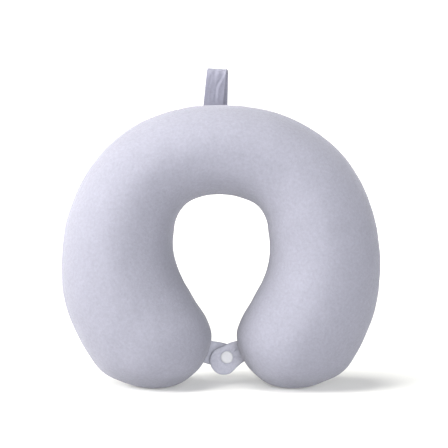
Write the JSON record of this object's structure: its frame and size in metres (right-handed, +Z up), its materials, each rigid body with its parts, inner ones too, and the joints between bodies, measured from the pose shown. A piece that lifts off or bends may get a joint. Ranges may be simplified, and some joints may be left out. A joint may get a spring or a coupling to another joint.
{
  "type": "neck pillow",
  "caption": "U-shaped stuffed travel neck pillow in short-pile fabric, with a back hanging loop, a zipped cover and snap tabs that join its two front lobes.",
  "frame": {"origin": "middle of the underside: centred left to right and front to back, on the plane the two lobes stand on", "axes": "+X to the viewer's right, +Y to the back of the standing pillow, +Z up toward the middle of the U"},
  "size_m": [0.3, 0.1144, 0.3018],
  "materials": {
    "velour": "matte",
    "tab_velour": "matte",
    "liner_knit": "matte",
    "foam": "matte",
    "thread": "matte",
    "strap": "matte",
    "tape": "matte",
    "coil": "satin",
    "slider_metal": "satin",
    "snap_plastic": "satin",
    "label": "satin"
  },
  "bodies": {
    "pillow": {"foam_core": "foam", "liner_front": "liner_knit", "liner_rear": "liner_knit", "cover_front_panel": "velour", "cover_back_panel": "velour", "seam_thread": "thread", "zip_tape_front": "tape", "zip_tape_back": "tape", "zip_coil_front": "coil", "zip_coil_back": "coil", "zip_top_stop": "slider_metal", "zip_bottom_stop": "slider_metal", "hanging_loop_tails": "strap", "front_tab_root": "tab_velour", "rear_tab_root": "tab_velour", "care_label": "label"},
    "slider": {"zip_slider": "slider_metal"},
    "pull": {"zip_pull": "slider_metal"},
    "loop": {"hanging_loop": "strap"},
    "front_tab": {"front_tab_face": "tab_velour", "front_tab_lining": "tab_velour", "snap_cap_front": "snap_plastic", "snap_socket": "snap_plastic"},
    "rear_tab": {"rear_tab_face": "tab_velour", "rear_tab_lining": "tab_velour", "snap_cap_rear": "snap_plastic", "snap_stud": "snap_plastic"}
  },
  "joints": [
    {"name": "zip_slide", "type": "hinge", "parent": "pillow", "child": "slider", "pos_m": [-0.01197, 0.018, 0.11943], "axis": [0, 1, 0], "range_deg": [0, 41]},
    {"name": "pull_swing", "type": "hinge", "parent": "slider", "child": "pull", "pos_m": [0.13841, 0.0188, 0.17836], "axis": [0.2877, -0.9511, 0.1128], "range_deg": [0, 168]},
    {"name": "loop_swing", "type": "hinge", "parent": "pillow", "child": "loop", "pos_m": [-0.00549, 0.018, 0.26629], "axis": [0.9976, 0, -0.0698], "range_deg": [-85, 55], "stiffness_Nm_per_rad": 0.01},
    {"name": "front_tab_swing", "type": "hinge", "parent": "pillow", "child": "front_tab", "pos_m": [0.01676, 0.0136, 0.02897], "axis": [-0.4147, 0, 0.91], "range_deg": [0, 60], "stiffness_Nm_per_rad": 0.01},
    {"name": "rear_tab_swing", "type": "hinge", "parent": "pillow", "child": "rear_tab", "pos_m": [-0.01676, 0.0224, 0.02897], "axis": [0.4147, 0, 0.91], "range_deg": [0, 75], "stiffness_Nm_per_rad": 0.01}
  ]
}
